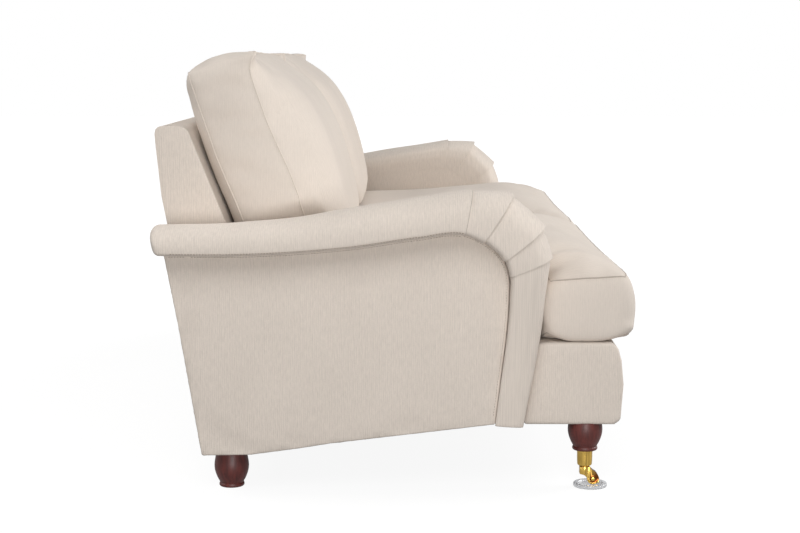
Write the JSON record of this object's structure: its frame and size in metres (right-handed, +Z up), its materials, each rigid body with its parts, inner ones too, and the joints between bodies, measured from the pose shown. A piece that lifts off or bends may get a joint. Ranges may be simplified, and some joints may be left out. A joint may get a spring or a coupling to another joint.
{
  "type": "english roll arm sofa",
  "caption": "Two-seat linen sofa with low rolled arms, raked back, loose T-shaped seat cushions, boxed back cushions, turned legs and brass castors in clear cups.",
  "frame": {"origin": "on the floor under the middle of the sofa's bounding box", "axes": "+X along the seat to the sitter's left, +Y to the back, +Z up; the sitter faces -Y"},
  "size_m": [2.136, 0.992, 0.905],
  "materials": {
    "linen": "matte",
    "linen_panel": "matte",
    "cambric": "matte",
    "pine": "matte",
    "mahogany": "gloss",
    "brass": "polished",
    "steel": "satin",
    "spring_steel": "satin",
    "clear_glass": "polished"
  },
  "bodies": {
    "frame": {"arm_front_post_left": "pine", "arm_front_post_right": "pine", "arm_rear_post_left": "pine", "arm_rear_post_right": "pine", "arm_roll_left": "linen", "arm_roll_right": "linen", "arm_top_rail_left": "pine", "arm_top_rail_right": "pine", "back_bottom_rail": "pine", "back_centre_post": "pine", "back_post_left": "pine", "back_post_right": "pine", "back_top_rail": "pine", "castor_ferrule_left": "brass", "castor_ferrule_right": "brass", "centre_seat_rail": "pine", "dust_cover": "cambric", "front_border": "linen", "front_leg_bolt_left": "steel", "front_leg_bolt_right": "steel", "front_leg_left": "mahogany", "front_leg_right": "mahogany", "front_seat_rail": "pine", "inner_arm_panel_left": "linen", "inner_arm_panel_right": "linen", "inner_back": "linen", "outer_arm_panel_left": "linen_panel", "outer_arm_panel_right": "linen_panel", "outer_back_panel": "linen_panel", "rear_leg_bolt_left": "steel", "rear_leg_bolt_right": "steel", "rear_leg_left": "mahogany", "rear_leg_right": "mahogany", "rear_seat_rail": "pine", "seat_deck": "linen_panel", "seat_spring_1": "spring_steel", "seat_spring_10": "spring_steel", "seat_spring_2": "spring_steel", "seat_spring_3": "spring_steel", "seat_spring_4": "spring_steel", "seat_spring_5": "spring_steel", "seat_spring_6": "spring_steel", "seat_spring_7": "spring_steel", "seat_spring_8": "spring_steel", "seat_spring_9": "spring_steel", "side_rail_left": "pine", "side_rail_right": "pine"},
    "castor_left": {"castor_horn_left": "brass", "castor_axle_left": "brass"},
    "castor_wheel_left": {"castor_wheel_left": "brass"},
    "castor_cup_left": {"castor_cup_left": "clear_glass"},
    "seat_cushion_left": {"seat_cushion_left": "linen"},
    "back_cushion_left": {"back_cushion_left": "linen"},
    "castor_right": {"castor_horn_right": "brass", "castor_axle_right": "brass"},
    "castor_wheel_right": {"castor_wheel_right": "brass"},
    "castor_cup_right": {"castor_cup_right": "clear_glass"},
    "seat_cushion_right": {"seat_cushion_right": "linen"},
    "back_cushion_right": {"back_cushion_right": "linen"}
  },
  "joints": [
    {"name": "castor_left_swivel", "type": "hinge", "parent": "frame", "child": "castor_left", "pos_m": [-0.93, -0.4, 0.036], "axis": [0, 0, 1], "continuous": true},
    {"name": "castor_left_roll", "type": "hinge", "parent": "castor_left", "child": "castor_wheel_left", "pos_m": [-0.93, -0.4175, 0.016], "axis": [1, 0, 0], "continuous": true},
    {"name": "castor_cup_left_lift", "type": "slide", "parent": "castor_left", "child": "castor_cup_left", "axis": [0, 0, -1], "range_m": [0, 0.03]},
    {"name": "seat_cushion_left_out", "type": "slide", "parent": "frame", "child": "seat_cushion_left", "axis": [0, -1, 0], "range_m": [0, 0.76]},
    {"name": "back_cushion_left_lift", "type": "slide", "parent": "frame", "child": "back_cushion_left", "axis": [0, 0.3697, 0.9291], "range_m": [0, 0.42]},
    {"name": "castor_right_swivel", "type": "hinge", "parent": "frame", "child": "castor_right", "pos_m": [0.93, -0.4, 0.036], "axis": [0, 0, 1], "continuous": true},
    {"name": "castor_right_roll", "type": "hinge", "parent": "castor_right", "child": "castor_wheel_right", "pos_m": [0.93, -0.4175, 0.016], "axis": [1, 0, 0], "continuous": true},
    {"name": "castor_cup_right_lift", "type": "slide", "parent": "castor_right", "child": "castor_cup_right", "axis": [0, 0, -1], "range_m": [0, 0.03]},
    {"name": "seat_cushion_right_out", "type": "slide", "parent": "frame", "child": "seat_cushion_right", "axis": [0, -1, 0], "range_m": [0, 0.76]},
    {"name": "back_cushion_right_lift", "type": "slide", "parent": "frame", "child": "back_cushion_right", "axis": [0, 0.3697, 0.9291], "range_m": [0, 0.42]}
  ]
}
